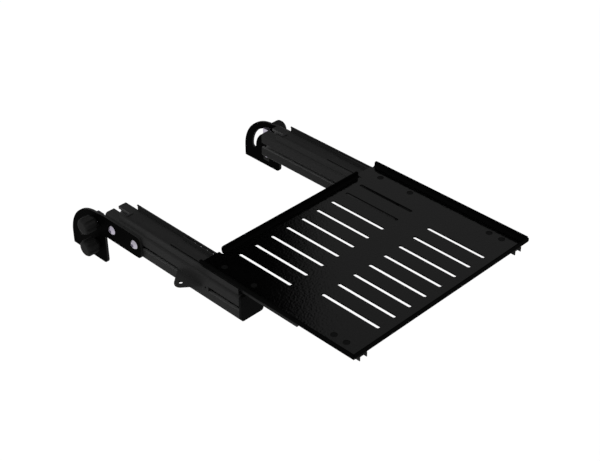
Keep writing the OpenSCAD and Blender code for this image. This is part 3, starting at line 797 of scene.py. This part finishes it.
class SHELF_OT_balls(bpy.types.Operator):
    """Sets a polished ball in each hole of the cages"""

    bl_idname = "shelf.balls"
    bl_label = "Balls"

    def execute(self, context):
        for row in ("outer_balls", "inner_balls"):
            _, size = solids_of(row)
            ball = lathe(arc((0, 0), size.z / 2, -90, 90, BALL_RINGS), BALL_STEPS)
            repeat(row, row + "_polished", ball, finish_of(context, ball_steel))
        return {"FINISHED"}


class SHELF_OT_flat_screws(bpy.types.Operator):
    """Blackens the countersunk screws of the tray and of the slides, and softens their edges"""

    bl_idname = "shelf.flat_screws"
    bl_label = "Countersunk screws"

    def execute(self, context):
        edges = context.scene.shelf_edges
        black = [finish_of(context, screw_black_oxide)]
        soften("tray_screws", "tray_flat_screws", edges.turned, black)
        rail = [finish_of(context, blackened_steel)]
        soften("rail_screws", "rail_flat_screws", edges.turned, rail)
        return {"FINISHED"}


class SHELF_OT_grips(bpy.types.Operator):
    """Turns the four grips and cuts their flutes"""

    bl_idname = "shelf.grips"
    bl_label = "Grips"

    def execute(self, context):
        grip = context.scene.shelf_grip
        nylon = finish_of(context, moulded_nylon)
        for place in ("clamp", "pivot"):
            for side, sign in (("left", -1), ("right", 1)):
                node = f"{place}_knob_{side}"
                low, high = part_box(node)
                height, radius = high.x - low.x, self.reach(node)
                body = lathe(self.profile(grip, radius, height), grip.rings)
                piece = new_piece(f"{place}_grip_{side}", body, [nylon])
                run_tree(piece, tree_of(flutes), {
                    "Count": grip.flutes, "Depth": grip.depth, "Radius": radius,
                    "Width": grip.depth * FLUTE_WIDTH, "Material": nylon,
                })
                foot = low.x if sign > 0 else high.x
                middle = (low + high) / 2
                turn = Matrix.Rotation(sign * math.pi / 2, 4, "Y")
                piece.data.transform(Matrix.Translation((foot, middle.y, middle.z)) @ turn)
                smooth(piece, GRIP_CREASE)
                stand_in(piece, node)
        return {"FINISHED"}

    @staticmethod
    def reach(node):
        """Farthest distance of the grip's rim from its axis."""
        low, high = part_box(node)
        middle = (low + high) / 2
        points = frame["nodes"][node].data.vertices
        return max(math.hypot(v.co.y - middle.y, v.co.z - middle.z) for v in points)

    @staticmethod
    def profile(grip, radius, height):
        """Half section of a grip from its foot to its outer end."""
        bottom = arc((grip.hub - FOOT_ROUND, FOOT_ROUND), FOOT_ROUND, -90, 0, FOOT_STEPS)
        wall_foot = grip.hub_height + RIM_ROUND
        under = arc((radius - RIM_ROUND, wall_foot), RIM_ROUND, -90, 0, RIM_STEPS)
        wall_height = height - wall_foot - grip.round
        wall = [(radius, wall_foot + wall_height * i / WALL_STEPS) for i in range(1, WALL_STEPS)]
        end = arc((radius - grip.round, height - grip.round), grip.round, 0, 90, END_STEPS)
        crown = [(end[-1][0] * i / CROWN_STEPS, height) for i in range(CROWN_STEPS - 1, 0, -1)]
        return [(0, 0)] + bottom + [(grip.hub, grip.hub_height)] + under + wall + end + crown + [(0, height)]


class SHELF_OT_fasteners(bpy.types.Operator):
    """Gives the bolts, nuts and studs their plating, and blackens the washers and the lower rig nuts"""

    bl_idname = "shelf.fasteners"
    bl_label = "Fasteners"

    def execute(self, context):
        edges = context.scene.shelf_edges
        plate = [finish_of(context, zinc_plate)]
        for node in ("bracket_bolts", "bracket_nuts", "clamp_rig_nuts", "rail_nuts", "tray_nuts"):
            soften(node, node + "_plated", edges.turned, plate)
        black = [finish_of(context, screw_black_oxide)]
        for node in ("clamp_washers", "pivot_washers", "pivot_rig_nuts"):
            soften(node, node + "_blackened", edges.turned, black)
        for place in ("clamp", "pivot"):
            for side in ("left", "right"):
                dress(f"{place}_stud_{side}", finish_of(context, threaded_zinc))
        return {"FINISHED"}


class SHELF_OT_stage(bpy.types.Operator):
    """Builds the floor, the lamps, the card that the gloss mirrors, and the camera"""

    bl_idname = "shelf.stage"
    bl_label = "Studio"

    def execute(self, context):
        studio = context.scene.shelf_studio
        self.floor(studio)
        self.card(studio)
        self.world(context.scene, studio)
        for name, place, power, size in LAMPS:
            self.lamp(name, place, getattr(studio, power), size)
        self.camera(context.scene, studio)
        return {"FINISHED"}

    @staticmethod
    def seen(tree):
        """1 on camera, glossy and transmission rays, and 0 on the others."""
        path = add(tree, "ShaderNodeLightPath").outputs
        both = add(tree, "ShaderNodeMath", {0: path["Is Camera Ray"], 1: path["Is Glossy Ray"]},
                   operation="MAXIMUM").outputs[0]
        return add(tree, "ShaderNodeMath", {0: both, 1: path["Is Transmission Ray"]},
                   operation="MAXIMUM").outputs[0]

    def floor(self, studio):
        """Plain pale floor. Most of its white is its own, and the rest keeps the object's shadow."""
        corners = ((-1, -1), (1, -1), (1, 1), (-1, 1))
        material, tree = bare_material("studio_floor")
        matt = add(tree, "ShaderNodeBsdfDiffuse", {"Color": list(studio.floor) + [1]})
        white = add(tree, "ShaderNodeEmission", {"Color": (1, 1, 1, 1), "Strength": FLOOR_GLOW})
        own = {0: self.seen(tree), 1: FLOOR_SHARE}
        share = add(tree, "ShaderNodeMath", own, operation="MULTIPLY").outputs[0]
        mix = add(tree, "ShaderNodeMixShader", {0: share, 1: matt.outputs[0], 2: white.outputs[0]})
        add(tree, "ShaderNodeOutputMaterial", {"Surface": mix.outputs[0]})
        self.sheet("floor", [(x * FLOOR_HALF, y * FLOOR_HALF, studio.level) for x, y in corners], material)

    def card(self, studio):
        """A grey card high behind the tray, black at its left end, that only gloss mirrors."""
        left, right = -CARD_HALF, CARD_HALF
        corners = ((left, CARD_LOW), (right, CARD_LOW), (right, CARD_HIGH), (left, CARD_HIGH))
        material, tree = bare_material("grey_card")
        place = add(tree, "ShaderNodeTexCoord").outputs["Object"]
        across = add(tree, "ShaderNodeVectorMath", {0: place, 1: CARD_ALONG}, operation="DOT_PRODUCT")
        span = {"Value": across.outputs["Value"], "From Min": CARD_DARK, "From Max": CARD_LIT,
                "To Min": 0.0, "To Max": studio.card}
        ramp = add(tree, "ShaderNodeMapRange", span, interpolation_type="SMOOTHSTEP")
        glow = add(tree, "ShaderNodeEmission", {"Strength": ramp.outputs["Result"]})
        add(tree, "ShaderNodeOutputMaterial", {"Surface": glow.outputs[0]})
        card = self.sheet("card", [(x, 0, z) for x, z in corners], material)
        card.data.transform(Matrix.Translation(CARD_PLACE) @ Matrix.Rotation(CARD_TURN, 4, "Z"))
        card.visible_camera = False
        card.visible_diffuse = False
        card.visible_shadow = False
        card.visible_transmission = False

    @staticmethod
    def sheet(name, corners, material):
        """A flat piece of the studio with these four corners."""
        mesh = bpy.data.meshes.new(name)
        mesh.from_pydata(corners, [], [(0, 1, 2, 3)])
        mesh.materials.append(material)
        sheet = bpy.data.objects.new(name, mesh)
        bpy.context.scene.collection.objects.link(sheet)
        return sheet

    def world(self, scene, studio):
        """White where it is seen, bright where it is mirrored, and the fill light otherwise."""
        world = bpy.data.worlds.new("studio")
        scene.world = world
        world.use_nodes = True
        tree = world.node_tree
        tree.nodes.clear()
        span = {"Value": self.seen(tree), "To Min": studio.fill, "To Max": 1.0}
        level = add(tree, "ShaderNodeMapRange", span)
        camera = add(tree, "ShaderNodeLightPath").outputs["Is Camera Ray"]
        lit = add(tree, "ShaderNodeMath", {0: camera, 1: SKY_LIFT, 2: level.outputs["Result"]},
                  operation="MULTIPLY_ADD")
        sky = add(tree, "ShaderNodeBackground", {"Strength": lit.outputs[0]})
        add(tree, "ShaderNodeOutputWorld", {"Surface": sky.outputs[0]})

    @staticmethod
    def lamp(name, place, power, size):
        """A square soft box that points at the middle of the object."""
        light = bpy.data.lights.new(name, "AREA")
        light.energy = power
        light.size = size
        lamp = bpy.data.objects.new(name, light)
        middle = (CAD_BOX[0] + CAD_BOX[1]) / 2
        lamp.location = place
        lamp.rotation_euler = (middle - Vector(place)).to_track_quat("-Z", "Y").to_euler()
        lamp.visible_glossy = False
        bpy.context.scene.collection.objects.link(lamp)

    @staticmethod
    def camera(scene, studio):
        """The photograph's camera, with a half-pixel shift for its frame."""
        data = bpy.data.cameras.new("camera")
        data.lens = studio.lens
        data.sensor_width = SENSOR_WIDTH
        half_pixel = 0.5 / IMAGE_WIDTH
        data.shift_x = -half_pixel
        data.shift_y = half_pixel
        data.clip_end = CLIP_END
        camera = bpy.data.objects.new("camera", data)
        camera.location = studio.place
        camera.rotation_euler = Euler(studio.turn)
        scene.collection.objects.link(camera)
        scene.camera = camera
        scene.view_settings.view_transform = "Standard"


class SHELF_PT_panel(bpy.types.Panel):
    """Lists the steps that dress the shelf"""

    bl_idname = "SHELF_PT_panel"
    bl_label = "Sliding shelf"
    bl_space_type = "VIEW_3D"
    bl_region_type = "UI"
    bl_category = "Shelf"

    def draw(self, context):
        for operator in OPERATORS:
            self.layout.operator(operator.bl_idname)
        for name in GROUPS:
            for key in getattr(context.scene, name).bl_rna.properties.keys():
                if key not in ("rna_type", "name"):
                    self.layout.prop(getattr(context.scene, name), key)


OPERATORS = (
    SHELF_OT_tray,
    SHELF_OT_arms,
    SHELF_OT_brackets,
    SHELF_OT_slides,
    SHELF_OT_balls,
    SHELF_OT_flat_screws,
    SHELF_OT_grips,
    SHELF_OT_fasteners,
    SHELF_OT_stage,
)
GROUPS = {
    "shelf_finish": ShelfFinish,
    "shelf_edges": ShelfEdges,
    "shelf_grip": ShelfGrip,
    "shelf_studio": ShelfStudio,
}
CLASSES = (*GROUPS.values(), *OPERATORS, SHELF_PT_panel)


def register():
    for item in CLASSES:
        bpy.utils.register_class(item)
    for name, group in GROUPS.items():
        setattr(bpy.types.Scene, name, bpy.props.PointerProperty(type=group))


def unregister():
    for name in GROUPS:
        delattr(bpy.types.Scene, name)
    for item in reversed(CLASSES):
        bpy.utils.unregister_class(item)


def main():
    """Registers the add-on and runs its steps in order."""
    register()
    for operator in OPERATORS:
        group, name = operator.bl_idname.split(".")
        getattr(getattr(bpy.ops, group), name)()


if __name__ == "__main__":
    main()
